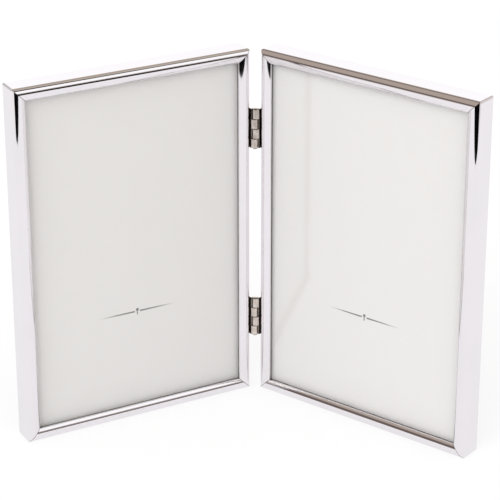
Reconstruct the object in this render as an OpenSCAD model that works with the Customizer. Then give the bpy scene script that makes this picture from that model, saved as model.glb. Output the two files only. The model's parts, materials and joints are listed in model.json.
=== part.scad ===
// Double photo frame for two upright prints, hinged like a book.
// Each leaf is four mitred lengths of rolled metal section round a pane of glass,
// a print and a velvet-covered board that four turn buttons hold in.
// The frame stands open on its lower rails. X runs across it, Y runs away from the
// viewer and Z is up. The origin is on the table, below the middle of the open frame.

/* [Print] */
// Width of the print
print_w = 101.6; // [80:0.2:160]
// Height of the print
print_h = 152.4; // [110:0.2:220]
// Free space between the edge of the print and the inside of the rail's wall
pack_clearance = 1.7; // [1.3:0.1:2.5]

/* [Opening] */
// Angle between the two picture faces
open_angle = 114; // [60:1:178]

/* [Rail section] */
// Depth of a leaf from the crown of the bead to its back
leaf_depth = 11.2; // [9.6:0.1:16]
// Thickness of the rolled sheet
sheet_t = 0.5; // [0.4:0.05:0.9]
// Radius of the rounded bead that frames the picture
bead_r = 2.4; // [1.6:0.1:2.8]
// Radius of the flatter slope from the crown of the bead down to the picture
slope_r = 4.5; // [3:0.1:7]
// Angle that the slope turns through
slope_sweep = 40; // [30:1:50]
// Depth from the crown to the ledge that the glass lies on
seat_depth = 2.5; // [2.4:0.1:4]
// Width of the ledge that the glass lies on
seat_w = 2.2; // [1.5:0.1:2.6]
// Width of the narrow return at the back of the rail
return_w = 1.8; // [1.5:0.05:2.1]
// Radius of the polished outer corners
corner_r = 0.8; // [0.3:0.1:1.2]

/* [Corner angles] */
// Length of one leg of a corner angle
angle_leg = 12; // [6:0.5:20]
// Thickness of a corner angle
angle_t = 1; // [0.6:0.05:1.2]
// Distance from a corner angle to the glass ledge and to the back return
angle_inset = 0.5; // [0.2:0.1:2]

/* [Glass, print and back] */
// Thickness of the glass
glass_t = 1.6; // [1:0.1:3]
// Thickness of the sheet behind the glass
sheet_paper_t = 0.3; // [0.1:0.05:0.8]
// Thickness of the velvet on the board
velvet_t = 0.6; // [0.2:0.05:0.8]

/* [Turn buttons] */
// Thickness of a turn button
button_t = 0.8; // [0.5:0.05:1.2]
// Width of a turn button's nose
button_w = 4.4; // [3:0.1:7]
// Radius of a turn button round its rivet
button_hub_r = 2.9; // [2.4:0.1:4.5]
// Distance from the edge of the board to a turn button's rivet
button_inset = 6.5; // [5:0.1:14]
// Space between a turn button and the back return above its nose
button_clearance = 0.5; // [0.2:0.05:1]
// Space between a turn button and the velvet
button_lift = 0.1; // [0.05:0.05:0.3]
// Space between the tip of a turn button and the rail's wall
nose_gap = 0.25; // [0.15:0.05:0.5]
// Width of the upturned finger tab on a turn button
tab_w = 3.2; // [2:0.1:5]
// Thickness of the finger tab
tab_t = 0.6; // [0.4:0.05:1]
// Height of the finger tab above the button
tab_h = 0.9; // [0.4:0.1:1]

/* [Rivets] */
// Radius of the shank of a turn button's rivet
rivet_r = 1; // [0.6:0.05:1.6]
// Radius of the head of a turn button's rivet
rivet_head_r = 1.9; // [1.4:0.1:2.6]
// Thickness of the head of a turn button's rivet
rivet_head_t = 0.5; // [0.3:0.05:0.8]
// Radius of the shank of a hinge rivet
hinge_rivet_r = 0.7; // [0.4:0.05:1]
// Radius of the head of a hinge rivet
hinge_rivet_head_r = 1.3; // [0.9:0.05:2]
// Thickness of the head of a hinge rivet
hinge_rivet_head_t = 0.3; // [0.2:0.05:0.5]
// Running clearance round every rivet and hinge pin
running_gap = 0.05; // [0.02:0.01:0.09]

/* [Hinges] */
// Height of one hinge
hinge_h = 17.4; // [12:0.1:30]
// Distance from the end of a leaf to its nearer hinge
hinge_inset = 26.2; // [10:0.1:45]
// Number of knuckles on one hinge
knuckle_count = 4; // [2:2:8]
// Space between neighbouring knuckles
knuckle_gap = 0.12; // [0.05:0.01:0.4]
// Radius of the hinge barrel
barrel_r = 1.2; // [1:0.05:1.3]
// Radius of the hinge pin
pin_r = 0.6; // [0.4:0.05:0.75]
// Radius of the peened heads of the hinge pin
pin_head_r = 0.95; // [0.8:0.05:1.2]
// Thickness of the peened heads of the hinge pin
pin_head_t = 0.3; // [0.2:0.05:0.6]
// Thickness of a hinge plate
plate_t = 0.45; // [0.3:0.05:0.6]
// Width of a hinge plate along the side of the leaf
plate_w = 8.5; // [5:0.1:9]
// Distance from the crown plane to the front edge of a hinge plate
plate_front = 0.3; // [0.2:0.1:2]
// Distance from the hinge axis to the side of a leaf
hinge_gap = 1.65; // [1.5:0.05:2.5]
// Distance that the hinge axis stands in front of the crown
hinge_proud = 0.3; // [0.2:0.05:1]

/* [Hidden] */
$fn = 96;

left = -1;
right = 1;

// Overrun of every cut past the face that it opens
overrun = 0.5;

silver = [0.88, 0.87, 0.87];
nickel = [0.72, 0.68, 0.64];
paper = [0.9, 0.89, 0.87];
pane = [0.8, 0.87, 0.88, 0.35];
board = [0.42, 0.33, 0.24];
velvet = [0.09, 0.09, 0.1];

// Outer size of a leaf: the print, its free space and the rails' walls
edge_gap = sheet_t + pack_clearance;
leaf_w = print_w + 2 * edge_gap;
leaf_h = print_h + 2 * edge_gap;

// Width of the bead seen from the front, from the leaf's side to the picture, and the
// depth of its lip, where the slope ends
bead_lip = bead_r + slope_r * sin(slope_sweep);
lip_y = slope_r * (1 - cos(slope_sweep));

// The pack behind the ledge: glass, print, board and velvet. The board fills what is left.
return_face = leaf_depth - sheet_t;
glass_y = seat_depth;
paper_y = glass_y + glass_t;
board_y = paper_y + sheet_paper_t;
button_y = return_face - button_clearance - button_t;
velvet_y = button_y - button_lift - velvet_t;
board_t = velvet_y - board_y;
rivet_head_y = button_y + button_t + running_gap;

// A turn button's rivet stands this far inside the leaf's edge
pivot_in = edge_gap + button_inset;
nose_len = pivot_in - sheet_t - nose_gap;

// Each leaf turns this far back from the plane across the front
leaf_turn = (180 - open_angle) / 2;

// Reach of the open frame along Y, seen from the hinge axis
front_reach = (hinge_gap + leaf_w - bead_r) * sin(leaf_turn)
    - (hinge_proud + bead_r) * cos(leaf_turn) + bead_r;
back_reach = (hinge_proud + leaf_depth - sheet_t) * cos(leaf_turn)
    - (hinge_gap + sheet_t) * sin(leaf_turn) + sheet_t;
axis_y = (front_reach - back_reach) / 2;

// Heights of the lower ends of the two hinges
upper_hinge_z = leaf_h - hinge_inset - hinge_h;
lower_hinge_z = hinge_inset;
knuckle_pitch = hinge_h / knuckle_count;

// Rivets of a hinge plate, as shares of the hinge's height
hinge_rivet_shares = [0.25, 0.75];

// Stands what is drawn for a leaf at its place in the open frame.
// A leaf is drawn with its hinge side at X 0, its crown at Y 0 and its foot at Z 0.
module place_leaf(side) {
    translate([0, axis_y, 0])
        mirror([side == left ? 1 : 0, 0, 0])
            rotate([0, 0, -leaf_turn])
                translate([hinge_gap, hinge_proud, 0])
                    children();
}

// Raises an outline drawn on a leaf's face, X across and Y up, from depth y0 by t
module through_leaf(y0, t) {
    translate([0, y0 + t, 0])
        rotate([90, 0, 0])
            linear_extrude(t)
                children();
}

// Rectangle with true round corners
module round_rect(w, h, r) {
    translate([r, 0])
        square([w - 2 * r, h]);
    translate([0, r])
        square([w, h - 2 * r]);
    for (x = [r, w - r], y = [r, h - r])
        translate([x, y])
            circle(r);
}

// Quarter of a ring whose centre is at the origin, in the corner of negative X and Y
module quarter_ring(r_out, r_in) {
    intersection() {
        difference() {
            circle(r_out);
            circle(r_in);
        }
        translate([-r_out, -r_out])
            square(r_out);
    }
}

// Section of the rolled rail. X runs from the leaf's side in towards the picture,
// Y runs from the crown to the back.
module rail_section() {
    // Rounded shoulder from the side wall up to the crown
    translate([bead_r, bead_r])
        quarter_ring(bead_r, bead_r - sheet_t);
    // Slope from the crown down to the lip
    translate([bead_r, slope_r])
        intersection() {
            mirror([1, 0])
                quarter_ring(slope_r, slope_r - sheet_t);
            translate([0, -slope_r])
                square([bead_lip - bead_r, seat_depth]);
        }
    // Narrow wall from the lip down to the glass
    translate([bead_lip - sheet_t, lip_y])
        square([sheet_t, seat_depth - lip_y]);
    // Turned-in ledge that the glass lies on
    translate([bead_lip - seat_w, seat_depth - sheet_t])
        square([seat_w, sheet_t]);
    // Side wall
    translate([0, bead_r])
        square([sheet_t, return_face - bead_r]);
    // Rounded back edge and narrow return
    translate([sheet_t, return_face])
        mirror([0, 1])
            quarter_ring(sheet_t, 0);
    translate([sheet_t, return_face])
        square([return_w - sheet_t, sheet_t]);
}

// Cuts a rail to its mitres. The outline is the rail's own sector of the leaf.
module mitred(points) {
    intersection() {
        children();
        through_leaf(-overrun, leaf_depth + 2 * overrun)
            polygon(points);
        through_leaf(-overrun, leaf_depth + 2 * overrun)
            round_rect(leaf_w, leaf_h, corner_r);
    }
}

mitre_reach = bead_lip + overrun;

module top_rail() {
    color(silver)
        mitred([
            [-overrun, leaf_h + overrun],
            [mitre_reach, leaf_h - mitre_reach],
            [leaf_w - mitre_reach, leaf_h - mitre_reach],
            [leaf_w + overrun, leaf_h + overrun]
        ])
            translate([0, 0, leaf_h])
                rotate([0, 90, 0])
                    linear_extrude(leaf_w)
                        rail_section();
}

module bottom_rail() {
    color(silver)
        mitred([
            [-overrun, -overrun],
            [mitre_reach, mitre_reach],
            [leaf_w - mitre_reach, mitre_reach],
            [leaf_w + overrun, -overrun]
        ])
            mirror([0, 0, 1])
                rotate([0, 90, 0])
                    linear_extrude(leaf_w)
                        rail_section();
}

module outer_rail() {
    color(silver)
        mitred([
            [leaf_w + overrun, -overrun],
            [leaf_w - mitre_reach, mitre_reach],
            [leaf_w - mitre_reach, leaf_h - mitre_reach],
            [leaf_w + overrun, leaf_h + overrun]
        ])
            translate([leaf_w, 0, 0])
                mirror([1, 0, 0])
                    linear_extrude(leaf_h)
                        rail_section();
}

// The hinge rail has a hole through its wall for each hinge rivet
module hinge_rail() {
    color(silver)
        difference() {
            mitred([
                [-overrun, -overrun],
                [mitre_reach, mitre_reach],
                [mitre_reach, leaf_h - mitre_reach],
                [-overrun, leaf_h + overrun]
            ])
                linear_extrude(leaf_h)
                    rail_section();
            hinge_rivet_places()
                along_x(-overrun, sheet_t + 2 * overrun, hinge_rivet_r + running_gap);
        }
}

// Cylinder along X from x0
module along_x(x0, len, r) {
    translate([x0, 0, 0])
        rotate([0, 90, 0])
            cylinder(h = len, r = r);
}

module hinge_rivet_places() {
    for (z0 = [upper_hinge_z, lower_hinge_z], share = hinge_rivet_shares)
        translate([0, plate_front + plate_w / 2, z0 + hinge_h * share])
            children();
}

// Four bent strips that hold the mitres, each lying against the walls of two rails
module corner_angles() {
    y0 = seat_depth + angle_inset;
    color(nickel)
        through_leaf(y0, return_face - angle_inset - y0)
            for (mx = [0, 1], my = [0, 1])
                translate([mx * leaf_w, my * leaf_h])
                    mirror([mx, 0])
                        mirror([0, my])
                            translate([sheet_t, sheet_t]) {
                                square([angle_leg, angle_t]);
                                square([angle_t, angle_leg]);
                            }
}

// Plain plate of the print's outline, at depth y0
module pack_plate(y0, t) {
    translate([edge_gap, y0, edge_gap])
        cube([print_w, t, print_h]);
}

module glass() {
    color(pane)
        pack_plate(glass_y, glass_t);
}

module picture_sheet() {
    color(paper)
        pack_plate(paper_y, sheet_paper_t);
}

// Turns an outline whose nose points to the hinge side to each edge in turn:
// 0 inner, 1 outer, 2 top, 3 bottom
function button_pos(edge) =
    edge == 0 ? [pivot_in, leaf_h / 2] :
    edge == 1 ? [leaf_w - pivot_in, leaf_h / 2] :
    edge == 2 ? [leaf_w / 2, leaf_h - pivot_in] :
    [leaf_w / 2, pivot_in];
button_turns = [0, 180, -90, 90];

module button_frame(edge) {
    translate(button_pos(edge))
        rotate(button_turns[edge])
            children();
}

module backing_board() {
    color(board)
        difference() {
            pack_plate(board_y, board_t);
            through_leaf(board_y - overrun, board_t + 2 * overrun)
                for (edge = [0:3])
                    button_frame(edge)
                        circle(rivet_r + running_gap);
            through_leaf(board_y - overrun, rivet_head_t + overrun)
                for (edge = [0:3])
                    button_frame(edge)
                        circle(rivet_head_r + running_gap);
        }
}

module velvet_back() {
    color(velvet)
        difference() {
            pack_plate(velvet_y, velvet_t);
            through_leaf(velvet_y - overrun, velvet_t + 2 * overrun)
                for (edge = [0:3])
                    button_frame(edge)
                        circle(rivet_r + running_gap);
        }
}

// Rivets that the turn buttons swing on, closed over on the front of the board
module button_rivets() {
    color(nickel)
        for (edge = [0:3]) {
            through_leaf(board_y, rivet_head_t)
                button_frame(edge)
                    circle(rivet_head_r);
            through_leaf(board_y, rivet_head_y - board_y)
                button_frame(edge)
                    circle(rivet_r);
            through_leaf(rivet_head_y, rivet_head_t)
                button_frame(edge)
                    circle(rivet_head_r);
        }
}

// Turn button: a round hub on its rivet, a round-ended nose that reaches under the
// rail's return, and an upturned finger tab
module turn_button(edge) {
    color(nickel) {
        through_leaf(button_y, button_t)
            button_frame(edge)
                difference() {
                    union() {
                        circle(button_hub_r);
                        translate([button_w / 2 - nose_len, -button_w / 2])
                            square([nose_len - button_w / 2, button_w]);
                        translate([button_w / 2 - nose_len, 0])
                            circle(button_w / 2);
                        translate([0, -tab_w / 2])
                            square([button_hub_r + tab_t, tab_w]);
                    }
                    circle(rivet_r + running_gap);
                }
        through_leaf(button_y, button_t + tab_h)
            button_frame(edge)
                translate([button_hub_r, -tab_w / 2])
                    square([tab_t, tab_w]);
    }
}

// Rivets that hold the hinge plates to the hinge rail, with a flat head on each side
module hinge_rivets() {
    color(nickel)
        hinge_rivet_places() {
            along_x(-plate_t - hinge_rivet_head_t, hinge_rivet_head_t, hinge_rivet_head_r);
            along_x(-plate_t - hinge_rivet_head_t,
                plate_t + sheet_t + 2 * hinge_rivet_head_t, hinge_rivet_r);
            along_x(sheet_t, hinge_rivet_head_t, hinge_rivet_head_r);
        }
}

// One half of a hinge in its leaf's frame: a flat plate on the rail's wall whose
// front edge leans out and rolls round the pin at every second knuckle
module hinge_plate(z0, first) {
    color(nickel)
        difference() {
            translate([0, 0, z0]) {
                translate([-plate_t, plate_front, 0])
                    cube([plate_t, plate_w, hinge_h]);
                for (i = [first:2:knuckle_count - 1])
                    translate([0, 0, hinge_h - (i + 1) * knuckle_pitch + knuckle_gap / 2])
                        linear_extrude(knuckle_pitch - knuckle_gap)
                            knuckle_outline();
            }
            hinge_rivet_places()
                along_x(-plate_t - overrun, plate_t + 2 * overrun,
                    hinge_rivet_r + running_gap);
        }
}

module knuckle_outline() {
    difference() {
        union() {
            translate([-hinge_gap, -hinge_proud])
                circle(barrel_r);
            polygon([
                [barrel_r - hinge_gap - plate_t, -hinge_proud],
                [barrel_r - hinge_gap, -hinge_proud],
                [0, plate_front],
                [0, plate_front + plate_t],
                [-plate_t, plate_front + plate_t],
                [-plate_t, plate_front]
            ]);
        }
        translate([-hinge_gap, -hinge_proud])
            circle(pin_r + running_gap);
    }
}

// Hinge pin with a peened head at each end
module hinge_pin(z0) {
    color(nickel)
        translate([0, axis_y, z0]) {
            cylinder(h = hinge_h, r = pin_r);
            translate([0, 0, -pin_head_t])
                cylinder(h = pin_head_t, r = pin_head_r);
            translate([0, 0, hinge_h])
                cylinder(h = pin_head_t, r = pin_head_r);
        }
}

place_leaf(left) top_rail();  // left_top_rail
place_leaf(left) bottom_rail();  // left_bottom_rail
place_leaf(left) outer_rail();  // left_outer_rail
place_leaf(left) hinge_rail();  // left_hinge_rail
place_leaf(left) corner_angles();  // left_corner_angles
place_leaf(left) glass();  // left_glass
place_leaf(left) picture_sheet();  // left_picture_sheet
place_leaf(left) backing_board();  // left_backing_board
place_leaf(left) velvet_back();  // left_velvet_back
place_leaf(left) button_rivets();  // left_button_rivets
place_leaf(left) hinge_rivets();  // left_hinge_rivets
place_leaf(left) turn_button(0);  // left_turn_button_inner
place_leaf(left) turn_button(1);  // left_turn_button_outer
place_leaf(left) turn_button(2);  // left_turn_button_top
place_leaf(left) turn_button(3);  // left_turn_button_bottom
place_leaf(right) top_rail();  // right_top_rail
place_leaf(right) bottom_rail();  // right_bottom_rail
place_leaf(right) outer_rail();  // right_outer_rail
place_leaf(right) hinge_rail();  // right_hinge_rail
place_leaf(right) corner_angles();  // right_corner_angles
place_leaf(right) glass();  // right_glass
place_leaf(right) picture_sheet();  // right_picture_sheet
place_leaf(right) backing_board();  // right_backing_board
place_leaf(right) velvet_back();  // right_velvet_back
place_leaf(right) button_rivets();  // right_button_rivets
place_leaf(right) hinge_rivets();  // right_hinge_rivets
place_leaf(right) turn_button(0);  // right_turn_button_inner
place_leaf(right) turn_button(1);  // right_turn_button_outer
place_leaf(right) turn_button(2);  // right_turn_button_top
place_leaf(right) turn_button(3);  // right_turn_button_bottom
place_leaf(left) hinge_plate(upper_hinge_z, 1);  // upper_hinge_left_plate
place_leaf(right) hinge_plate(upper_hinge_z, 0);  // upper_hinge_right_plate
hinge_pin(upper_hinge_z);  // upper_hinge_pin
place_leaf(left) hinge_plate(lower_hinge_z, 1);  // lower_hinge_left_plate
place_leaf(right) hinge_plate(lower_hinge_z, 0);  // lower_hinge_right_plate
hinge_pin(lower_hinge_z);  // lower_hinge_pin
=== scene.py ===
# %% [markdown]
# # A hinged double photo frame in polished silver plate
#
# Two leaves of thin silver-plated rail stand open like a book. Each holds a pane of glass,
# a printed sheet and a velvet-covered board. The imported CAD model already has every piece
# at its real size, so this lesson only gives the pieces their looks: smooth mitred rails,
# rolled hinge knuckles, domed rivets, and a finish for every surface.
#
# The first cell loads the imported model, which puts one object per CAD node into the scene.

import json

import bmesh
import bpy
import numpy as np
from mathutils import Euler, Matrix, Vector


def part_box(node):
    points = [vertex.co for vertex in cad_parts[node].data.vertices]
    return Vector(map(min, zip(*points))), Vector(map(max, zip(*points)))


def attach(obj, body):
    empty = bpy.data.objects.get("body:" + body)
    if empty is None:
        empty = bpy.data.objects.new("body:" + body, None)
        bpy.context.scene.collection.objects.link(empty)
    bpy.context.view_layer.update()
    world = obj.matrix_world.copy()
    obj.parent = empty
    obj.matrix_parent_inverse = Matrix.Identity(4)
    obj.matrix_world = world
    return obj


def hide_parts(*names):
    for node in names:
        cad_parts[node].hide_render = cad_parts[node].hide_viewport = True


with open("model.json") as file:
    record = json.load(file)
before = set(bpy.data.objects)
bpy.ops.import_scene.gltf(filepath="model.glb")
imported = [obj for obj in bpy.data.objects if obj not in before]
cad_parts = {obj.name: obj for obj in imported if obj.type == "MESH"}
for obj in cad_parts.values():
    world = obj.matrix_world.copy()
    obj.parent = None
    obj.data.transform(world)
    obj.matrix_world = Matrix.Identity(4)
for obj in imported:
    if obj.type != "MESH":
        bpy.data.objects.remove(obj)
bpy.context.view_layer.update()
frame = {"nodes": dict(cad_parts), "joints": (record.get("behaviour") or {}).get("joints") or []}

# %% [markdown]
# ## The camera
#
# The photograph was taken from a little right of the middle, above the frame, through a
# long lens. The place and the angles come from fitting a camera to the frame's edges in the
# photograph, with the frame's real size as the scale. The place is counted from the axis of
# the hinges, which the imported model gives. A camera object looks down its own -Z axis, so a
# turn of 90 degrees about X makes it look along +Y first, and the pitch and the yaw are
# added to that. The sensor is 36 mm wide, and the picture is square.

# %% Camera of the photograph
joints = {joint["name"]: joint for joint in frame["joints"]}
hinge_axis = np.array(joints["fold"]["pos_m"])
camera_from_hinge = (0.0625, -0.8408, 0.4406)
camera_pitch = -23.94
camera_yaw = 4.40
camera_lens = 154.85
camera_sensor = 36


def add_object(name, data):
    """Puts camera, mesh or lamp data into the scene as an object."""
    added = bpy.data.objects.new(name, data)
    bpy.context.scene.collection.objects.link(added)
    return added


camera_data = bpy.data.cameras.new("photo_camera")
camera_data.lens = camera_lens
camera_data.sensor_width = camera_sensor
camera = add_object("photo_camera", camera_data)
camera.location = hinge_axis * (1, 1, 0) + camera_from_hinge
camera.rotation_euler = Euler(np.radians([90 + camera_pitch, 0, camera_yaw]))
bpy.context.scene.camera = camera
bpy.context.scene.view_settings.view_transform = "Standard"
print("Camera at", np.round(camera.location, 4).tolist(), "with a", camera_lens, "mm lens")

# %% [markdown]
# ## Where a leaf stands
#
# Both leaves are the same, mirrored and turned. It is easier to model one leaf in its own
# directions: across from the hinge to the outer edge, deep from the crown of the rail to
# the back, and up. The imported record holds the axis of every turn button, which is the
# leaf's deep direction, so the directions are read and not guessed. The vertices of the four
# rails then say where the leaf begins and how large it is.

# %% Directions and size of each leaf
MM = 0.001
SIDES = {"left": -1, "right": 1}


def node_points(node):
    """All vertices of a CAD node, one row of x, y and z each."""
    mesh = frame["nodes"][node].data
    points = np.empty(len(mesh.vertices) * 3, np.float32)
    mesh.vertices.foreach_get("co", points)
    return points.reshape(-1, 3).astype(float)


class Leaf:
    """One leaf's own directions, its origin at the hinge side, crown and foot, and its size."""

    def __init__(self, side):
        self.side = side
        self.body = f"{side}_leaf"
        deep = np.array(joints[f"{side}_top_button_turn"]["axis"], float)
        deep /= np.linalg.norm(deep)
        across = SIDES[side] * np.array([deep[1], -deep[0], 0])
        self.axes = np.array([across, deep, [0, 0, 1]])
        self.origin = np.zeros(3)
        low, high = self.extent("top_rail", "bottom_rail", "outer_rail", "hinge_rail")
        self.origin = low @ self.axes
        self.width, self.depth, self.height = high - low

    def own(self, points):
        """Points of the scene, as across, deep and up in the leaf's own directions."""
        return (np.asarray(points) - self.origin) @ self.axes.T

    def place(self, points):
        """Points given as across, deep and up, moved to where the leaf stands."""
        return self.origin + np.asarray(points) @ self.axes

    def extent(self, *names):
        """Lowest and highest corner of some of the leaf's nodes, in the leaf's directions."""
        points = self.own(np.concatenate([node_points(f"{self.side}_{name}") for name in names]))
        return points.min(0), points.max(0)


leaves = {side: Leaf(side) for side in SIDES}
for leaf in leaves.values():
    measured = np.array([leaf.width, leaf.depth, leaf.height]) / MM
    print(leaf.side, "leaf in mm:", np.round(measured, 2))

# %% [markdown]
# ## Surfaces from grids
#
# Every new piece is a sheet of points in rows and columns, worked out as whole arrays, and
# the faces between neighbouring points are always the same pattern. A closed outline wraps
# round in its columns, and a flat end is one face with many corners. One function makes
# the face numbers, and another turns points and faces into an object: it welds points that
# lie on each other, turns the faces outwards, which also puts a mirrored leaf right, marks
# the sharp edges, and lets the piece ride on its CAD body in place of the CAD node.

# %% From points to a piece
WELD = 1e-7


def grid_faces(rows, columns, wrap=False):
    """Quads between neighbours: the point in row r and column c is number r * columns + c."""
    r = np.arange(rows - 1)[:, None]
    c = np.arange(columns if wrap else columns - 1)[None, :]
    after = (c + 1) % columns
    quads = [r * columns + c, r * columns + after, (r + 1) * columns + after, (r + 1) * columns + c]
    return np.stack(np.broadcast_arrays(*quads), -1).reshape(-1, 4)


def tube(points, uv):
    """A closed outline carried through rows: rows x columns x 3 points, with two flat ends."""
    rows, columns = points.shape[:2]
    first = np.arange(columns)
    ends = np.stack([first, first + (rows - 1) * columns])
    return points.reshape(-1, 3), [grid_faces(rows, columns, wrap=True), ends], uv.reshape(-1, 2)


def make_piece(name, parts, body, material, replaced, sharp=30):
    """One mesh of parts, each points, faces and UV, that rides on a body for CAD nodes."""
    points = np.concatenate([part[0] for part in parts])
    uv = np.concatenate([part[2] for part in parts])
    starts = np.cumsum([0] + [len(part[0]) for part in parts])
    faces = []
    for part, start in zip(parts, starts):
        for block in part[1]:
            faces += (block + start).tolist()
    mesh = bpy.data.meshes.new(name)
    mesh.from_pydata(points.tolist(), [], faces)
    corners = np.empty(len(mesh.loops), np.int32)
    mesh.loops.foreach_get("vertex_index", corners)
    mesh.uv_layers.new(name="metres").data.foreach_set("uv", uv[corners].astype(np.float32).ravel())
    welded = bmesh.new()
    welded.from_mesh(mesh)
    bmesh.ops.remove_doubles(welded, verts=welded.verts, dist=WELD)
    bmesh.ops.recalc_face_normals(welded, faces=welded.faces)
    welded.to_mesh(mesh)
    welded.free()
    mesh.shade_smooth()
    mesh.set_sharp_from_angle(angle=np.radians(sharp))
    mesh.materials.append(material)
    piece = add_object(name, mesh)
    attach(piece, body)
    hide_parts(*replaced)
    return piece


print("A grid of 3 x 4 points has", len(grid_faces(3, 4)), "quads")

# %% [markdown]
# ## Shader sums as Python
#
# A material's pattern is a sum of noises and masks. Added node by node it is hard to read,
# so one small class wraps a socket: an expression such as 0.1 + 0.05 * noise then adds the
# Math nodes for itself. Every other node comes from one method that takes the node's type,
# its settings and what goes into its sockets. Colours go through Mix nodes, because a Math
# node would turn them grey.

# %% A socket that can be calculated with


class Wire:
    """One output of a node tree. Sums written with it add Math nodes."""

    def __init__(self, tree, socket=None):
        self.tree = tree
        self.socket = socket

    def node(self, kind, settings=None, inputs=None, out=0):
        """Adds a node, sets its settings, then fills or links its sockets, and wraps one output."""
        node = self.tree.nodes.new(kind)
        for name, value in (settings or {}).items():
            setattr(node, name, value)
        for key, value in (inputs or {}).items():
            self.plug(node.inputs[key], value)
        return Wire(self.tree, node.outputs[out])

    def plug(self, socket, value):
        """Links a wire to a socket, or writes a plain value on it."""
        if isinstance(value, Wire):
            self.tree.links.new(value.socket, socket)
        else:
            socket.default_value = value

    def math(self, operation, a, b=0.0):
        """A Math node on one or two wires or numbers."""
        return self.node("ShaderNodeMath", {"operation": operation}, {0: a, 1: b})

    def __add__(self, other):
        return self.math("ADD", self, other)

    __radd__ = __add__

    def __sub__(self, other):
        return self.math("SUBTRACT", self, other)

    def __rsub__(self, other):
        return self.math("SUBTRACT", other, self)

    def __mul__(self, other):
        return self.math("MULTIPLY", self, other)

    __rmul__ = __mul__

    def __truediv__(self, other):
        return self.math("DIVIDE", self, other)

    def most(self, other):
        """The larger of two."""
        return self.math("MAXIMUM", self, other)

    def size(self):
        """The number without its sign."""
        return self.math("ABSOLUTE", self)

    def root(self):
        """The square root."""
        return self.math("SQRT", self)

    def step(self, edge, soft):
        """0 below edge and 1 above it, with a soft change over soft on either side."""
        inputs = {"Value": self, "From Min": edge - soft, "From Max": edge + soft}
        return self.node("ShaderNodeMapRange", {"interpolation_type": "SMOOTHSTEP"}, inputs)

    def band(self, low, high, soft):
        """1 between low and high and 0 outside, with a soft change at both ends."""
        return self.step(low, soft) * (1 - self.step(high, soft))

    def mix(self, a, b):
        """The colour a where this is 0, and b where it is 1."""
        return self.node("ShaderNodeMix", {"data_type": "RGBA"}, {0: self, 6: a, 7: b}, out=2)

    def place(self, kind):
        """Coordinates: Object or UV, and on the world Generated, which is the direction."""
        return self.node("ShaderNodeTexCoord", out=kind)

    def part(self, k):
        """One of a vector's three numbers, counted from 0."""
        return self.node("ShaderNodeSeparateXYZ", {}, {0: self}, out=k)

    def stretch(self, across, along, up=1.0):
        """Coordinates times a number for each direction, which draws out a noise on them."""
        inputs = {0: self, 1: (across, along, up)}
        return self.node("ShaderNodeVectorMath", {"operation": "MULTIPLY"}, inputs)

    def noise(self, scale, detail=2.0):
        """A noise from 0 to 1 on coordinates, with scale spots to the metre."""
        return self.node("ShaderNodeTexNoise", {}, {"Vector": self, "Scale": scale, "Detail": detail})

    def bump(self, tall, strength=1.0):
        """A Normal that makes a height from 0 to 1 look tall metres high."""
        return self.node("ShaderNodeBump", {}, {"Height": self, "Distance": tall, "Strength": strength})

    def light(self, name):
        """What a Light Path node tells about the ray, such as Is Camera Ray."""
        return self.node("ShaderNodeLightPath", out=name)


print("Wire can add, subtract, multiply and divide")


# %% Materials to fill
def new_material(name):
    """A new material, a wire to build with and its Principled shader."""
    material = bpy.data.materials.new(name)
    material.use_nodes = True
    tree = material.node_tree
    return material, Wire(tree), tree.nodes["Principled BSDF"]


def set_finish(wire, shader, sockets):
    """Writes plain values on a shader's sockets, and links what changes over the surface."""
    for name, value in sockets.items():
        wire.plug(shader.inputs[name], value)


def mix_in(wire, shader, share, other):
    """Shows another shader in place of the material's own where share is 1."""
    own = Wire(wire.tree, shader.outputs[0])
    both = wire.node("ShaderNodeMixShader", {}, {0: share, 1: own, 2: other})
    wire.plug(wire.tree.nodes["Material Output"].inputs["Surface"], both)


print("Every material starts from a Principled shader")

# %% [markdown]
# ## Silver plate
#
# The rails are rolled steel, soldered at the mitres, polished and then plated. New plate is
# almost a mirror: it shows its surroundings more than its own colour. What makes it look
# real is small: faint smears from wiping, and buffing lines along the rail, too fine to see
# one by one, that soften the reflection. The smears go into the colour and the roughness, the
# lines into the roughness and a bump of less than a thousandth of a millimetre. The lines
# follow the rail through its own UV map, whose first number runs round the section and whose
# second counts from the nearest mitre. The first number also finds the narrow wall down to
# the glass, which the wheel does not reach: it is rougher, and its dark grey is painted shade
# of that narrow recess. The second finds the dark line of solder in a mitre, which shows on
# the bead alone.

# %% Polished silver plate
wall_from = 2.15 * MM
wall_to = 2.95 * MM
wall_soft = 0.05 * MM
bead_end = 9.6 * MM
bead_soft = 0.3 * MM
solder = 0.13 * MM
solder_soft = 0.04 * MM
solder_cover = 0.8
buffing_depth = 0.0004 * MM


def silver_plate():
    material, wire, shader = new_material("silver_plate")
    along = wire.place("UV")
    walked, from_mitre = along.part(0), along.part(1)
    smear = wire.place("Object").noise(45.0, 3.0)
    buffed = along.stretch(9000.0, 60.0).noise(1.0)
    bright = (0.905, 0.878, 0.912, 1)
    worn = (0.885, 0.862, 0.880, 1)
    # grey is painted shade, for the narrow recess of the wall down to the glass
    grey = (0.20, 0.18, 0.17, 1)
    dark = (0.05, 0.045, 0.04, 1)
    # Painted shade and real dullness: the wall down to the glass is coloured dark grey as the shade of
    # its recess, and it is rougher
    dull_and_shaded = walked.band(wall_from, wall_to, wall_soft)
    polished = dull_and_shaded.mix(smear.step(0.55, 0.25).mix(bright, worn), grey)
    joined = 1 - from_mitre.step(solder, solder_soft)
    joined = joined * walked.band(wall_to, bead_end, bead_soft)
    set_finish(wire, shader, {
        "Metallic": 1.0,
        "IOR": 1.5,
        "Base Color": (joined * solder_cover).mix(polished, dark),
        "Roughness": 0.02 + 0.02 * smear + 0.005 * buffed + 0.25 * dull_and_shaded,
        "Normal": buffed.bump(buffing_depth),
    })
    return material


silver = silver_plate()
print("Silver plate has", len(silver.node_tree.nodes), "nodes")

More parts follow.
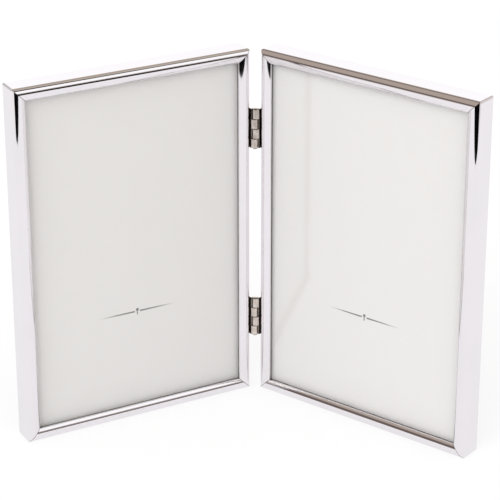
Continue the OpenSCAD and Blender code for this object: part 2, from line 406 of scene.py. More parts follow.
# %% [markdown]
# ## The rolled rail
#
# All eight rails are one section: a hollow bead in front, a ledge behind it that the glass
# lies on, a flat side wall, and a narrow return at the back. It is bent from one thin strip,
# so its outline runs along the outside of the strip and back along the inside. The bends
# that show are arcs, and a short straight piece beside a corner keeps the flats flat.

# %% Section of the rail
sheet_t = 0.5 * MM
bead_r = 2.4 * MM
slope_r = 4.5 * MM
slope_sweep = 40
seat_depth = 2.5 * MM
seat_w = 2.2 * MM
return_w = 1.8 * MM
tip_r = 0.15 * MM
hold = 0.12 * MM
bead_lip = bead_r + slope_r * np.sin(np.radians(slope_sweep))
depth = leaves["left"].depth


def arc(centre, radius, start, stop, count):
    """Points on a circle from one angle to another, in degrees from +x towards +y."""
    turn = np.radians(np.linspace(start, stop, count))
    return np.array(centre) + radius * np.stack([np.cos(turn), np.sin(turn)], -1)


def rail_section():
    """Closed outline of the rolled strip: x is in from the leaf's edge, y back from the crown."""
    back = depth - sheet_t
    ledge_top = seat_depth - sheet_t
    reach = bead_lip - tip_r - bead_r
    lip_centre = (bead_lip - tip_r, slope_r - np.sqrt((slope_r - tip_r) ** 2 - reach ** 2))
    leans = -np.degrees(np.arccos(reach / (slope_r - tip_r)))
    inner_leans = -np.degrees(np.arccos((bead_lip - sheet_t - bead_r) / (slope_r - sheet_t)))
    return np.concatenate([
        [[bead_lip - seat_w, seat_depth], [bead_lip - hold, seat_depth], [bead_lip, seat_depth]],
        [[bead_lip, seat_depth - hold], [bead_lip, lip_centre[1] + hold]],
        arc(lip_centre, tip_r, 0, leans, 8),
        arc((bead_r, slope_r), slope_r, leans, -90, 30)[1:],
        arc((bead_r, bead_r), bead_r, -90, -180, 30)[1:],
        [[0, bead_r + hold], [0, back - hold]],
        arc((sheet_t, back), sheet_t, 180, 90, 12),
        arc((return_w - tip_r, depth - tip_r), tip_r, 90, 0, 5),
        arc((return_w - tip_r, back + tip_r), tip_r, 0, -90, 5),
        [[sheet_t, back], [sheet_t, bead_r]],
        arc((bead_r, bead_r), bead_r - sheet_t, 180, 270, 12)[1:],
        arc((bead_r, slope_r), slope_r - sheet_t, -90, inner_leans, 10)[1:],
        [[bead_lip - sheet_t, ledge_top], [bead_lip - seat_w, ledge_top]],
    ])


section = rail_section()
print("The section has", len(section), "points and its bead is", round(bead_lip / MM, 2), "mm wide")

# %% [markdown]
# ## Mitres and polished corners
#
# The section is carried in a straight line, and the only trick is at the ends: where it is
# further in from the edge, a mitred rail is shorter by the same amount, so the end moves in
# by exactly that inset. The polished corner is round, so the points that would stick out of
# a circle at the corner are pulled in onto it. The rings of points near the end are spaced by
# equal turns round that circle. The very last ring is drawn in a little along the bead, so
# the two rails meet in a fine groove.

# %% Which way an outline faces
def unit(vectors):
    """Each row divided by its own length."""
    return vectors / np.linalg.norm(vectors, axis=1)[:, None]


def outward(outline):
    """Unit vectors that point out of a closed outline, across its tangent at each point."""
    before = np.roll(outline, 1, 0) - outline
    after = np.roll(outline, -1, 0) - outline
    tangent = unit(after) - unit(before)
    x, y = outline.T
    area = np.sum(x * np.roll(y, -1) - y * np.roll(x, -1))
    return np.sign(area) * unit(np.stack([tangent[:, 1], -tangent[:, 0]], -1))


facing = outward(section)
print("At the free end of its ledge the section faces", np.round(facing[0], 2).tolist())

# %% Mitred rails
corner_r = 0.8 * MM
seam = 0.09 * MM
seam_fade = 1 * MM
rail_crease = 11
next_rings = np.array([1.2, 2, 4, 8, 16, 30]) * MM


def rail_rings(length):
    """Distances of the rings from one mitre, close together round the corners."""
    corner = corner_r * (1 - np.tan(np.radians(np.linspace(45, 0, 10))))
    half = np.concatenate([corner, next_rings])
    return np.concatenate([half, [length / 2], length - half[::-1]])


def rail_surface(length):
    """Inset, deep and along for every point: along = inset + ring * (1 - 2 inset / length)."""
    rings = rail_rings(length)[:, None]
    walked = np.cumsum(np.linalg.norm(np.diff(section, axis=0, prepend=section[:1]), axis=1))
    groove = np.zeros((len(rings), len(section)))
    groove[[0, -1]] = seam * np.clip((bead_end - walked) / seam_fade, 0, 1)
    shape = section[None] - facing[None] * groove[..., None]
    inset, deep = shape[..., 0], shape[..., 1]
    along = inset + rings * (1 - 2 * inset / length)
    for end in (0, 1):
        from_end = length - along if end else along
        x, y = corner_r - inset, corner_r - from_end
        reach = np.hypot(x, y)
        outside = (x > 0) & (y > 0) & (reach > corner_r)
        pull = corner_r / np.maximum(reach, corner_r)
        inset = np.where(outside, corner_r - x * pull, inset)
        from_end = np.where(outside, corner_r - y * pull, from_end)
        along = length - from_end if end else from_end
    from_mitre = np.minimum(rings, length - rings)
    uv = np.stack(np.broadcast_arrays(walked[None], from_mitre), -1)
    return inset, deep, along, uv


def make_rail(leaf, name):
    """One rail of a leaf: top and bottom lie along the width, outer and hinge along the height."""
    level = name in ("top", "bottom")
    inset, deep, along, uv = rail_surface(leaf.width if level else leaf.height)
    edges = {"top": leaf.height - inset, "bottom": inset, "outer": leaf.width - inset, "hinge": inset}
    points = [along, deep, edges[name]] if level else [edges[name], deep, along]
    part = tube(leaf.place(np.stack(points, -1)), uv)
    node = f"{leaf.side}_{name}_rail"
    return make_piece(
        node + "_plated", [part], leaf.body, silver, [node], sharp=rail_crease)


for leaf in leaves.values():
    for name in ("top", "bottom", "outer", "hinge"):
        rail = make_rail(leaf, name)
        print(rail.name, len(rail.data.polygons), "faces")

# %% [markdown]
# ## Plates with eased edges
#
# Glass, paper, board and hinge plates are all cut from flat stock. A plain box would have
# edges without any width, which never catch the light. So a plate is its outline in a few
# layers: each layer has a height and is drawn in by a small amount, and the outer layers
# are drawn in most. One more layer lies just beyond each rounded edge. Smooth shading then
# bends the normals only in that narrow strip, and a pane stays as flat as a mirror.

# %% Layers of an outline
beyond = 1.25


def rounded(width, height, radius, turns=6):
    """Outline of a rectangle from (0, 0) to (width, height) with round corners."""
    centres = [(width - radius, radius), (width - radius, height - radius)]
    centres += [(radius, height - radius), (radius, radius)]
    starts = (-90, 0, 90, 180)
    return np.concatenate([arc(c, radius, a, a + 90, turns) for c, a in zip(centres, starts)])


def eased(thickness, edge, steps=4):
    """Rows of drawn-in distance and height for a plate whose edges are quarter circles."""
    turn = np.radians(np.linspace(0, 90, steps))
    low = np.stack([edge * (1 - np.sin(turn)), edge * (1 - np.cos(turn))], -1)
    low = np.concatenate([[[beyond * edge, 0]], low, [[0, beyond * edge]]])
    high = np.stack([low[::-1, 0], thickness - low[::-1, 1]], -1)
    return np.concatenate([low, high])


def layers(outline, rows):
    """Outline point minus its outward vector times the row's distance, at the row's height."""
    flat = outline[None] - outward(outline)[None] * rows[:, 0, None, None]
    height = np.broadcast_to(rows[:, 1, None, None], flat.shape[:2] + (1,))
    return np.concatenate([flat, height], -1)


def leaf_plate(leaf, outline, rows, low):
    """Layers drawn on a leaf's face: the outline is across and up, and the height is deep."""
    points = layers(outline, rows)[..., [0, 2, 1]] + low
    return tube(leaf.place(points), points[..., [0, 2]])


print("A plate has", len(eased(1, 0.1)), "rows of", len(rounded(1, 1, 0.1)), "points")

# %% [markdown]
# ## Glass
#
# The pane is thin float glass with ground edges. It bends what is behind it and
# mirrors a few percent of the room, and both come from a Principled shader with full
# transmission. In a path tracer such a pane would keep the lamps from the sheet, so rays
# that look for a lamp pass straight through it: a Light Path node mixes in a Transparent
# shader for them.

# %% Panes
air_film = 0.02 * MM
glass_corner = 0.6 * MM
glass_edge = 0.25 * MM
glass_wave = 0.01 * MM


def clear_glass():
    material, wire, shader = new_material("float_glass")
    wave = wire.place("Object").noise(14.0, 1.0)
    tint = (0.97, 0.97, 0.967, 1)
    set_finish(wire, shader, {
        "Base Color": (0.995, 0.995, 0.992, 1),
        "Transmission Weight": 1.0,
        "Roughness": 0.0,
        "IOR": 1.5,
        "Normal": wave.bump(glass_wave),
    })
    for_lamps = wire.light("Is Shadow Ray").most(wire.light("Is Diffuse Ray"))
    open_air = wire.node("ShaderNodeBsdfTransparent", {}, {"Color": tint})
    mix_in(wire, shader, for_lamps, open_air)
    return material


def box_plate(leaf, name, corner, edge):
    """A plate with the size and place of a CAD node, a film of air thinner, with eased edges."""
    low, high = leaf.extent(name)
    low[1] += air_film
    across, deep, up = high - low
    return leaf_plate(leaf, rounded(across, up, corner), eased(deep, edge), low)


glass = clear_glass()
for leaf in leaves.values():
    part = box_plate(leaf, "glass", glass_corner, glass_edge)
    node = f"{leaf.side}_glass"
    pane = make_piece(node + "_pane", [part], leaf.body, glass, [node])
    print(pane.name, "is", np.round(np.array(pane.dimensions) / MM, 1), "mm in its box")

# %% [markdown]
# ## The printed sheet
#
# Behind the glass lies a pale sheet of coated paper. It is bare but for a thin printed rule,
# thick in the middle and fading to both ends, with a small dot over a short stem in a gap
# at its centre. Such a rule is a few distances and steps on the sheet's own UV map, which is
# in metres across and up from the leaf's corner, so no picture file is needed. The two sheets
# lie loose and sit a fraction of a millimetre apart in height.

# %% Paper and its printed rule
sheet_corner = 0.4 * MM
sheet_edge = 0.08 * MM
sheet_lies = {"left": 0.4 * MM, "right": -0.2 * MM}
rule_up = 48.6 * MM
rule_half = 19 * MM
rule_thick = 0.72 * MM
rule_gap = 1.2 * MM
thin_share = 0.4
line_soft = 0.3
fade_soft = 0.3
fade_middle = 0.28
dot_up = 0.75 * MM
dot_r = 0.68 * MM
dot_soft = 0.08 * MM
stem_up = -0.75 * MM
stem_long = 1.5 * MM
stem_thick = 0.48 * MM
stem_soft = 0.05 * MM
end_soft = 0.1 * MM
ink_cover = 0.85
fibre_depth = 0.004 * MM


def printed_rule(across, up):
    """1 on the ink: a tapering line with a gap, a dot and a stem, from distances to the centre."""
    away = across.size()
    taper = 1 - away / rule_half
    thick = (thin_share + (1 - thin_share) * taper) * (rule_thick / 2)
    line = 1 - (up.size() / thick).step(1.0, line_soft)
    line = line * away.step(rule_gap, end_soft) * taper.step(fade_middle, fade_soft)
    over_dot = up - dot_up
    dot = 1 - (across * across + over_dot * over_dot).root().step(dot_r, dot_soft)
    over_stem = (up - stem_up).size()
    stem = 1 - away.step(stem_thick / 2, stem_soft)
    stem = stem * (1 - over_stem.step(stem_long / 2, end_soft))
    return line.most(dot).most(stem)


def coated_paper(centre):
    """Pale paper with the rule at the height rule_up, centred at this distance across."""
    material, wire, shader = new_material("coated_paper")
    place = wire.place("UV")
    printed = printed_rule(place.part(0) - centre, place.part(1) - rule_up)
    fibre = place.noise(900.0, 4.0)
    shaded = (0.775, 0.757, 0.747, 1)
    bright = (0.805, 0.785, 0.775, 1)
    ink = (0.05, 0.049, 0.048, 1)
    set_finish(wire, shader, {
        "IOR": 1.45,
        "Base Color": (printed * ink_cover).mix(fibre.mix(shaded, bright), ink),
        "Roughness": 0.5 + 0.1 * fibre,
        "Normal": fibre.bump(fibre_depth),
    })
    return material


paper = coated_paper(leaves["left"].width / 2)
for leaf in leaves.values():
    points, faces, uv = box_plate(leaf, "picture_sheet", sheet_corner, sheet_edge)
    part = points, faces, uv + (0, sheet_lies[leaf.side])
    node = f"{leaf.side}_picture_sheet"
    sheet = make_piece(node + "_printed", [part], leaf.body, paper, [node])
    print(sheet.name, len(sheet.data.polygons), "faces")

# %% [markdown]
# ## Board and velvet
#
# The back is a brown hardboard with black velvet glued over it. Hardboard is pressed wood
# fibre, so its colour is a fine mottle. Velvet is a short pile: it looks darkest where one
# looks straight into it and pale at a glancing angle, as the Principled shader's sheen does.
# Where a hand has brushed it the other way it catches more light and looks a little lighter,
# and a broad noise stands for that as a painted sheen in the colour.

# %% Back of the leaf
velvet_corner = 0.5 * MM
velvet_edge = 0.2 * MM
velvet_crease = 60
pile_depth = 0.12 * MM
mottle_depth = 0.05 * MM


def hardboard():
    material, wire, shader = new_material("hardboard")
    fibre = wire.place("Object").noise(1400.0, 5.0)
    brown = (0.20, 0.125, 0.07, 1)
    tan = (0.36, 0.25, 0.15, 1)
    set_finish(wire, shader, {
        "Base Color": fibre.mix(brown, tan),
        "Roughness": 0.75 + 0.15 * fibre,
        "Normal": fibre.bump(mottle_depth),
    })
    return material


def black_velvet():
    material, wire, shader = new_material("black_velvet")
    place = wire.place("UV")
    pile = place.noise(5200.0, 3.0)
    # Painted sheen: where the nap lies the other way the colour is lighter; the fine pile varies the
    # tone at random
    nap = place.stretch(30.0, 14.0).noise(1.0, 3.0).step(0.52, 0.16)
    tuft = pile * 0.75 + nap * 0.25
    black = (0.006, 0.006, 0.007, 1)
    pile_and_sheen = (0.028, 0.028, 0.032, 1)
    set_finish(wire, shader, {
        "Sheen Weight": 0.7,
        "Sheen Roughness": 0.35,
        "Sheen Tint": (0.62, 0.62, 0.68, 1),
        "IOR": 1.3,
        "Base Color": tuft.mix(black, pile_and_sheen),
        "Roughness": 0.9 - 0.1 * nap,
        "Normal": pile.bump(pile_depth, 0.8),
    })
    return material


def dress(node, material):
    """Gives a CAD node that stays in the scene a material of its own."""
    materials = frame["nodes"][node].data.materials
    materials.clear()
    materials.append(material)


velvet = black_velvet()
board = hardboard()
for leaf in leaves.values():
    part = box_plate(leaf, "velvet_back", velvet_corner, velvet_edge)
    node = f"{leaf.side}_velvet_back"
    make_piece(node + "_pile", [part], leaf.body, velvet, [node], sharp=velvet_crease)
    dress(f"{leaf.side}_backing_board", board)
print("Both backs are covered")

# %% [markdown]
# ## Nickel and zinc
#
# Hinges, buttons and rivets are small nickel-plated steel parts, tumbled in a drum and not
# polished by hand. Nickel is a warm grey beside silver, its reflection is blurred, and the
# tumbling leaves tiny dents. The corner angles inside the rails are zinc plated, which is
# colder and duller. One function makes them all from a colour and a roughness. The cleft
# beside a hinge's knuckles lies in deep shade, and that shade is painted: its plates are
# nearly black in a band there. The first number of their UV map gives the depth behind the
# rail's crown.

# %% Small plated parts
dent_depth = 0.012 * MM
# Depths behind the rail's crown where the hinge's cleft gets its painted shade
cleft_from = 0.3 * MM
cleft_to = 1.3 * MM
cleft_soft = 0.1 * MM


def tumbled(name, colour, dark, rough, cleft=False):
    """Plated steel with dents from tumbling, and with painted shade in the cleft of a hinge."""
    material, wire, shader = new_material(name)
    here = wire.place("Object")
    dents = here.noise(2600.0, 2.0)
    patches = here.noise(420.0, 3.0)
    tone = patches.step(0.5, 0.2).mix((*colour, 1), (*dark, 1))
    # Painted shade: a band at the cleft's depth is coloured nearly black, for the shade between plates
    # and knuckles
    if cleft:
        cleft_shade = (0.012, 0.010, 0.010, 1)
        deep = wire.place("UV").part(0)
        tone = deep.band(cleft_from, cleft_to, cleft_soft).mix(tone, cleft_shade)
    set_finish(wire, shader, {
        "Metallic": 1.0,
        "Base Color": tone,
        "Roughness": rough + 0.12 * patches,
        "Normal": dents.bump(dent_depth),
    })
    return material


nickel_hinge = tumbled("nickel_hinge", (0.80, 0.73, 0.67), (0.66, 0.58, 0.52), 0.20, cleft=True)
nickel_button = tumbled("nickel_button", (0.78, 0.74, 0.69), (0.68, 0.63, 0.58), 0.22)
nickel_rivet = tumbled("nickel_rivet", (0.80, 0.77, 0.73), (0.70, 0.66, 0.62), 0.18)
zinc = tumbled("zinc_plate", (0.66, 0.67, 0.69), (0.52, 0.53, 0.55), 0.35)
for side in SIDES:
    dress(f"{side}_corner_angles", zinc)
print("Made", [m.name for m in (nickel_hinge, nickel_button, nickel_rivet, zinc)])

# %% [markdown]
# ## Rivets and pins
#
# A rivet is turned: one profile, its radius at each height, carried round an axis. The head
# is a low dome, so its profile is part of an ellipse that starts flat on the axis and ends
# in a short straight rim. The first and last point lie on the axis, where the weld makes one
# pole of a whole ring.

# %% Domed heads
def dome(radius, height, rim=0.35, steps=7):
    """Profile of a low dome, rim to pole: radius r cos t, height h (rim + (1 - rim) sin t)."""
    turn = np.radians(np.linspace(0, 90, steps))
    return np.stack([radius * np.cos(turn), height * (rim + (1 - rim) * np.sin(turn))], -1)


def turned(profile, steps=32):
    """A profile of radius and height carried round the third axis."""
    turn = np.linspace(0, 2 * np.pi, steps, endpoint=False)
    radius, height = profile[:, 0, None], profile[:, 1, None]
    points = np.stack(np.broadcast_arrays(radius * np.cos(turn), radius * np.sin(turn), height), -1)
    faces = grid_faces(len(profile), steps, wrap=True)
    return points.reshape(-1, 3), [faces], points[..., :2].reshape(-1, 2)


def rivet_profile(head_r, head_t, shank_r, length):
    """Flat foot, shank and domed head, as one profile from pole to pole."""
    foot = [[0, 0], [head_r, 0], [head_r, head_t], [shank_r, head_t]]
    neck = [[shank_r, length - head_t], [head_r, length - head_t]]
    return np.concatenate([foot, neck, np.array([0, length - head_t]) + dome(head_r, head_t)])


print("A rivet's profile has", len(rivet_profile(1.9, 0.5, 1, 5)), "points")

# %% [markdown]
# ## Turn buttons
#
# Four blanked turn buttons on each back swing on rivets. Each is a round hub with a nose
# that reaches under the return of the rail, and a finger tab bent up at the other end. The
# outline is two arcs: a large one round the hub and a small one round the nose, joined by
# the two straight edges of the nose. The tab is a rounded plate that stands on the hub's far
# end. The record gives each button's pivot, and its nose points to the nearest rail.

# %% Buttons on the back
button_t = 0.8 * MM
button_w = 4.4 * MM
button_edge = 0.16 * MM
hub_r = 2.9 * MM
tab_w = 3.2 * MM
tab_t = 0.6 * MM
tab_h = 0.9 * MM
tab_corner = 0.22 * MM
tab_edge = 0.15 * MM
NOSE = {"inner": (-1, 0), "outer": (1, 0), "top": (0, 1), "bottom": (0, -1)}


def pivot_of(leaf, edge):
    """Where a button turns, as across, deep and up on its leaf."""
    return leaf.own(joints[f"{leaf.side}_{edge}_button_turn"]["pos_m"])


def button_outline(reach):
    """Hub and nose round the rivet at the origin, with the nose along +x."""
    half = button_w / 2
    meet = np.degrees(np.arcsin(half / hub_r))
    nose = arc((reach - half, 0), half, -90, 90, 17)
    hub = arc((0, 0), hub_r, meet, 360 - meet, 33)
    return np.concatenate([nose, hub])


def button_parts(leaf, edge):
    """The button's plate and its tab, turned so that its nose points to the rail."""
    low, high = leaf.extent(f"turn_button_{edge}")
    pivot = pivot_of(leaf, edge)
    to = np.array(NOSE[edge])
    reach = max(np.abs((high - pivot)[[0, 2]] @ to), np.abs((low - pivot)[[0, 2]] @ to))
    plate = layers(button_outline(reach), eased(button_t, button_edge))
    tab = rounded(tab_t, tab_w, tab_corner) + (-hub_r - tab_t, -tab_w / 2)
    tab = layers(tab, eased(button_t + tab_h, tab_edge))
    parts = []
    for points in (plate, tab):
        x, y = points[..., 0], points[..., 1]
        across = x * to[0] - y * to[1] + pivot[0]
        up = x * to[1] + y * to[0] + pivot[2]
        deep = points[..., 2] + low[1]
        parts.append(tube(leaf.place(np.stack([across, deep, up], -1)), points[..., :2]))
    return parts


for leaf in leaves.values():
    for edge in NOSE:
        node = f"{leaf.side}_turn_button_{edge}"
        parts = button_parts(leaf, edge)
        button = make_piece(node + "_blanked", parts, node, nickel_button, [node])
        print(button.name, len(button.data.polygons), "faces")

# %% Rivets of the turn buttons
rivet_r = 1.0 * MM
rivet_head_r = 1.9 * MM
rivet_head_t = 0.5 * MM

for leaf in leaves.values():
    low, high = leaf.extent("button_rivets")
    profile = rivet_profile(rivet_head_r, rivet_head_t, rivet_r, high[1] - low[1])
    parts = []
    for edge in NOSE:
        pivot = pivot_of(leaf, edge)
        points, faces, uv = turned(profile)
        points = points[:, [0, 2, 1]] + (pivot[0], low[1], pivot[2])
        parts.append((leaf.place(points), faces, uv))
    node = f"{leaf.side}_button_rivets"
    make_piece(node + "_domed", parts, leaf.body, nickel_rivet, [node])
print("Four domed rivets on each back")

# %% [markdown]
# ## Butt hinges
#
# A small butt hinge is two stamped plates whose front edges are cut into tongues and rolled
# round a pin, turn about. From the top, the right plate has the first and third knuckle and
# the left plate the second and fourth. The strip steps off the wall, bends round the pin
# almost a full turn and stops just short of itself. Its section is two lines, the outside and
# the inside of the strip. Both follow the same angle round the pin at two radii, and both
# fade into the plate with a smooth step. The outside begins to do so in front of the pin, so
# each knuckle leans to its own leaf. Behind the knuckles each plate keeps a narrow curved
# lip, the floor of the cleft, painted dark as the cleft's shade, which lets no light through
# beside them. Rolls and lip are drawn round the pin and carried along it in layers with
# eased ends, so the joints between knuckles show as fine dark lines.

# %% Sections of the hinge
hinge_gap = 1.65 * MM
hinge_proud = 0.3 * MM
barrel_r = 1.14 * MM
roll_in = 0.68 * MM
roll_end = -318
plate_t = 0.45 * MM
plate_front = 0.3 * MM
tuck = 0.02 * MM
neck_front = 0.9 * MM
flank_from = 0.55
flank_soft = 0.3
lip_r = 1.25 * MM
lip_t = 0.35 * MM
lip_turn = (30, 80)
cleft_middle = (cleft_from + cleft_to) / 2


def smooth(x):
    """Smooth step from 0 to 1: 3 x squared minus 2 x cubed, held outside."""
    x = np.clip(x, 0, 1)
    return x * x * (3 - 2 * x)


def roll_section():
    """Outline of a rolled tongue round the pin at the origin: x is across, y is deep."""
    root = plate_front + hinge_proud
    walk = np.linspace(root + plate_t, -neck_front, 22, endpoint=False)
    round_x = np.sqrt(barrel_r ** 2 - np.minimum(walk, 0) ** 2)
    share = smooth((walk + neck_front) / (root + neck_front))
    outer = np.stack([round_x + (hinge_gap - tuck - round_x) * share, walk], -1)
    walk = np.linspace(root + plate_t, 0, 14, endpoint=False)
    inner_x = hinge_gap - plate_t + tuck
    inner = np.stack([roll_in + (inner_x - roll_in) * smooth(walk / root), walk], -1)
    outside = arc((0, 0), barrel_r, -np.degrees(np.arcsin(neck_front / barrel_r)), roll_end, 36)
    inside = arc((0, 0), roll_in, roll_end, 0, 30)
    return np.concatenate([outer, outside, inside, inner[::-1]])


def roll_depth(x, y):
    """Depth for the UV map: real on the neck, 0 on the roll, and the cleft's painted shade on its far
    flank.
    """
    on_roll = np.hypot(x, y) < 1.01 * barrel_r
    # The roll's far flank lies in shade, so it takes the cleft's depth and its painted shade
    flank = smooth((-x / barrel_r - flank_from) / flank_soft)
    return np.where(on_roll, flank * cleft_middle, y - hinge_proud)


def lip_section():
    """Outline of the curved lip behind the rolls: two arcs round the pin, lip_t apart."""
    inner = arc((0, 0), lip_r, *lip_turn, 12)
    outer = arc((0, 0), lip_r + lip_t, *lip_turn[::-1], 12)
    return np.concatenate([inner, outer])


def lip_depth(x, y):
    """Depth for the UV map: the cleft's painted shade on the lip's inner side, and 0 outside."""
    return np.where(np.hypot(x, y) < lip_r + lip_t / 2, cleft_middle, 0)


print("A tongue's section has", len(roll_section()), "points, and the lip's", len(lip_section()))

# %% Rolled plates
knuckles = 4
knuckle_gap = 0.28 * MM
plate_corner = 0.5 * MM
plate_edge = 0.08 * MM
roll_edge = 0.06 * MM


def rolled_part(leaf, outline, depth_of, top, height):
    """An outline round the pin carried down from top, with its depth in the UV map."""
    points = layers(outline, eased(height, roll_edge, 3))
    deep = depth_of(points[..., 0], points[..., 1])
    points = points * (1, 1, -1) + (-hinge_gap, -hinge_proud, top)
    return tube(leaf.place(points), np.stack([deep, points[..., 2]], -1))


def hinge_parts(leaf, node, first):
    """A plate on the rail's wall, its lip, and every second rolled tongue from the top."""
    points = leaf.own(node_points(node))
    low, high = points.min(0), points.max(0)
    height, width = high[2] - low[2], high[1] - plate_front
    plate = layers(rounded(width, height, plate_corner), eased(plate_t, plate_edge))
    plate = plate[..., [2, 0, 1]] + (-plate_t, plate_front, low[2])
    parts = [tube(leaf.place(plate), plate[..., 1:])]
    parts.append(rolled_part(leaf, lip_section(), lip_depth, high[2], height))
    pitch = height / knuckles
    for k in range(first, knuckles, 2):
        top = high[2] - k * pitch - knuckle_gap / 2
        parts.append(rolled_part(leaf, roll_section(), roll_depth, top, pitch - knuckle_gap))
    return parts


for hinge in ("upper", "lower"):
    for leaf, first in ((leaves["left"], 1), (leaves["right"], 0)):
        node = f"{hinge}_hinge_{leaf.side}_plate"
        parts = hinge_parts(leaf, node, first)
        plate = make_piece(node + "_rolled", parts, leaf.body, nickel_hinge, [node])
        print(plate.name, len(plate.data.polygons), "faces")

# %% [markdown]
# ## Pins and hinge rivets
#
# A pin is a straight shank with a low dome at both ends. Between the knuckles it stands in
# the shade of the cleft, so its shank has the cleft's depth in the UV map and gets its painted
# shade, and its domes have none. Two rivets hold each plate: their domes show on it, and
# their flat feet sit inside the rail.

# %% Turned parts of the hinges
pin_r = 0.6 * MM
pin_head_r = 0.95 * MM
pin_head_t = 0.3 * MM
shank_from = 0.9 * pin_head_t
hinge_rivet_r = 0.7 * MM
hinge_head_r = 1.3 * MM
hinge_head_t = 0.3 * MM
rivet_shares = (0.25, 0.75)


def hinge_pin(low, high):
    """Dome, shank and dome, standing in the middle of the pin's box."""
    length = high[2] - low[2]
    head = dome(pin_head_r, pin_head_t)
    foot = head[::-1] * (1, -1) + (0, pin_head_t)
    shank = [[pin_r, pin_head_t], [pin_r, length - pin_head_t]]
    points, faces, uv = turned(np.concatenate([foot, shank, head + (0, length - pin_head_t)]))
    # The shank between the knuckles takes the cleft's depth, so it gets the cleft's painted shade
    on_shank = np.abs(points[:, 2:] - length / 2) < length / 2 - shank_from
    uv = np.repeat(np.where(on_shank, cleft_middle, 0), 2, axis=1)
    return points + ((low[0] + high[0]) / 2, (low[1] + high[1]) / 2, low[2]), faces, uv


for hinge in ("upper", "lower"):
    low, high = (np.array(corner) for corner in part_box(f"{hinge}_hinge_pin"))
    node = f"{hinge}_hinge_pin"
    part = hinge_pin(low, high)
    make_piece(node + "_peened", [part], "left_leaf", nickel_hinge, [node])

for leaf in leaves.values():
    low, high = leaf.extent("hinge_rivets")
    profile = rivet_profile(hinge_head_r, hinge_head_t, hinge_rivet_r, high[0] - low[0])
    parts = []
    for hinge in ("upper", "lower"):
        plate_low, plate_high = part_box(f"{hinge}_hinge_{leaf.side}_plate")
        for share in rivet_shares:
            points, faces, uv = turned(profile)
            up = plate_low[2] + share * (plate_high[2] - plate_low[2])
            points = points[:, [2, 0, 1]] * (-1, 1, 1) + (high[0], (low[1] + high[1]) / 2, up)
            parts.append((leaf.place(points), faces, uv))
    node = f"{leaf.side}_hinge_rivets"
    make_piece(node + "_domed", parts, leaf.body, nickel_rivet, [node])
print("Two pins and eight hinge rivets")

# %% [markdown]
# ## The table
#
# Polished plate looks like whatever it mirrors, so the studio matters as much as the
# material. The black wedges in the rails show where the white table ended: traced back, they
# give a rounded edge about 40 cm in front of the frame. The table is a real disc, because its
# edge has to lie at that distance. It glows where the camera, the silver or the glass sees
# it, and a part of its own shading keeps the frame's soft shadow.

# %% White table
table_middle = (-0.025, 0.19)
table_r = 0.583
glow_share = 0.75


def white_table():
    material, wire, shader = new_material("white_table")
    set_finish(wire, shader, {
        "Base Color": (0.93, 0.93, 0.935, 1),
        "Roughness": 0.9,
        "Specular IOR Level": 0.0,
    })
    mirrored = wire.light("Is Glossy Ray")
    seen = wire.light("Is Camera Ray").most(mirrored).most(wire.light("Is Transmission Ray"))
    clear_white = (1.03, 1.03, 1.03, 1)
    in_silver = (0.91, 0.90, 0.91, 1)
    tone = mirrored.mix(clear_white, in_silver)
    glow = wire.node("ShaderNodeEmission", {}, {"Color": tone, "Strength": 1.0})
    mix_in(wire, shader, seen * glow_share, glow)
    return material


rim = arc(table_middle, table_r, 0, 360, 181)[:-1]
table_mesh = bpy.data.meshes.new("table")
table_mesh.from_pydata(np.insert(rim, 2, 0, axis=1).tolist(), [], [range(len(rim))])
table_mesh.materials.append(white_table())
table = add_object("table", table_mesh)
print("The table's edge lies", round(table_r - table_middle[1], 3), "m in front of the middle")

# %% [markdown]
# ## The studio
#
# Past the table's edge the room was dark, with a white panel on the right, a white backdrop
# behind, and warm grey above and on the left. All that is far away, so it is painted on the
# world by direction. The direction's third number is the sine of its height above the
# horizon, and right and back are the sine and cosine of its turn from straight back. Only
# glossy rays see the room: the camera sees plain white, and everything dull is lit evenly.

# %% Low and high parts of the room
white = (1.08, 1.08, 1.08, 1)
dark = (0.003, 0.003, 0.003, 1)
right_dim = (0.09, 0.075, 0.07, 1)
crisp = 0.01
soft = 0.03
softer = 0.05
vague = 0.1
straight_up = 0.001


def sine(degrees):
    return float(np.sin(np.radians(degrees)))


def below_horizon(z, right, back, on_right):
    """Pale, darker towards the horizon, and with the dark room in front."""
    left_pale = (0.95, 0.92, 0.90, 1)
    left_dim = (0.36, 0.31, 0.29, 1)
    right_pale = (0.85, 0.81, 0.80, 1)
    left_low = z.step(sine(-8), sine(8)).mix(left_pale, left_dim)
    right_low = z.step(sine(-14.5), sine(8)).mix(right_pale, right_dim)
    gap = right.band(sine(-38), sine(60), 0.02) * (1 - back.step(-0.2, 0.2))
    return gap.mix(on_right.mix(left_low, right_low), dark)


def above_horizon(low, z, on_right):
    """Dusky on the left, lighter up to the panel on the right, and a warm grey room over it."""
    dusk = (0.15, 0.12, 0.11, 1)
    right_light = (0.46, 0.40, 0.37, 1)
    left_grey = (0.445, 0.375, 0.32, 1)
    right_grey = (0.50, 0.455, 0.385, 1)
    rise = z.step(sine(9), sine(9)).mix(right_dim, right_light)
    room = z.step(sine(0), soft).mix(low, on_right.mix(dusk, rise))
    ceiling = (z - (on_right * (sine(18) - sine(21)) + sine(21))).step(0.0, soft)
    return ceiling.mix(room, on_right.mix(left_grey, right_grey))


print("A border 21 degrees above the horizon lies at", round(sine(21), 3))

# %% Walls, panel and backdrop
panel_from = 18
panel_to = 57


def lit_walls(room, z, right, back, on_right):
    """Lighter walls behind on both sides, and a darker corner on the left."""
    left_wall = (0.63, 0.62, 0.61, 1)
    right_wall = (0.74, 0.68, 0.66, 1)
    shade = (0.2, 0.165, 0.15, 1)
    wall = z.band(sine(-12), sine(36), soft) * back.band(0.25, 0.8, softer)
    wall = wall * right.size().step(0.5, vague)
    room = wall.mix(room, on_right.mix(left_wall, right_wall))
    corner = z.band(sine(40), sine(58), soft) * right.band(sine(-38), sine(-14), softer)
    return (corner * back.step(0.5, vague)).mix(room, shade)


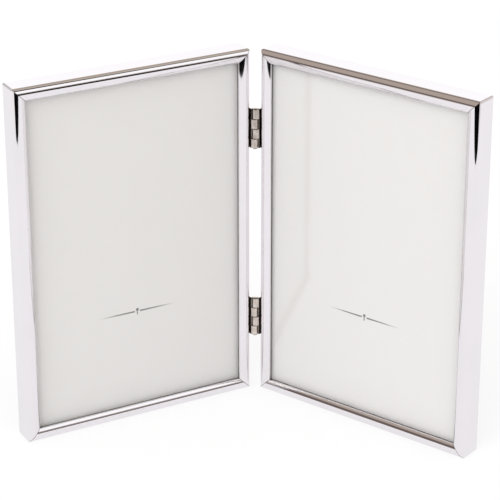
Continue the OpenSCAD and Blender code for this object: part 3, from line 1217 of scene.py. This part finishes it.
def panel_and_backdrop(room, z, back, on_right):
    """On the right the white panel with its dark edge, and the white backdrop behind."""
    beside = on_right * (1 - back.step(0.2, vague))
    room = (beside * z.band(sine(56), sine(70), crisp)).mix(room, dark)
    room = (beside * z.band(sine(panel_from), sine(panel_to), crisp)).mix(room, white)
    backdrop = back.step(0.75, softer) * (1 - z.step(sine(26), crisp))
    return backdrop.mix(room, white)


print("The white panel stands from", panel_from, "to", panel_to, "degrees")


# %% Studio painted on the world
def studio():
    """The room for what the silver sees, white for the camera, and even light for the rest."""
    world = bpy.data.worlds.new("studio")
    bpy.context.scene.world = world
    world.use_nodes = True
    world.cycles.sampling_method = "NONE"
    wire = Wire(world.node_tree)
    look = wire.place("Generated")
    x, y, z = (look.part(k) for k in range(3))
    level = (x * x + y * y).root().most(straight_up)
    right, back = x / level, y / level
    on_right = right.step(sine(25), vague)
    room = above_horizon(below_horizon(z, right, back, on_right), z, on_right)
    room = lit_walls(room, z, right, back, on_right)
    room = panel_and_backdrop(room, z, back, on_right)
    direct = wire.math("LESS_THAN", wire.light("Diffuse Depth"), 0.5)
    mirrored = direct * wire.light("Is Glossy Ray")
    seen = wire.light("Is Camera Ray").most(wire.light("Is Transmission Ray"))
    even_light = (0.90, 0.89, 0.88, 1)
    background = world.node_tree.nodes["Background"]
    wire.plug(background.inputs["Color"], mirrored.mix(seen.mix(even_light, (1, 1, 1, 1)), room))
    wire.plug(background.inputs["Strength"], 1.0)
    return world


print("World nodes:", len(studio().node_tree.nodes))

# %% [markdown]
# ## A soft lamp
#
# The right picture is a little brighter than the left one, so the room's light came more
# from the left. A sun lamp as wide as a big softbox gives the same from that side, and its
# soft shadow sits the frame on the table. It is hidden from glossy rays, because the world
# already holds what the silver mirrors.

# %% Lamp from the left
lamp_energy = 1.1
lamp_colour = (0.95, 0.97, 1.0)
lamp_width = 50
lamp_turn = (58, 0, -25)

lamp_data = bpy.data.lights.new("soft_lamp", "SUN")
lamp_data.energy = lamp_energy
lamp_data.color = lamp_colour
lamp_data.angle = np.radians(lamp_width)
lamp = add_object("soft_lamp", lamp_data)
lamp.rotation_euler = Euler(np.radians(lamp_turn))
lamp.visible_glossy = False
print("Lamp energy", lamp_energy)
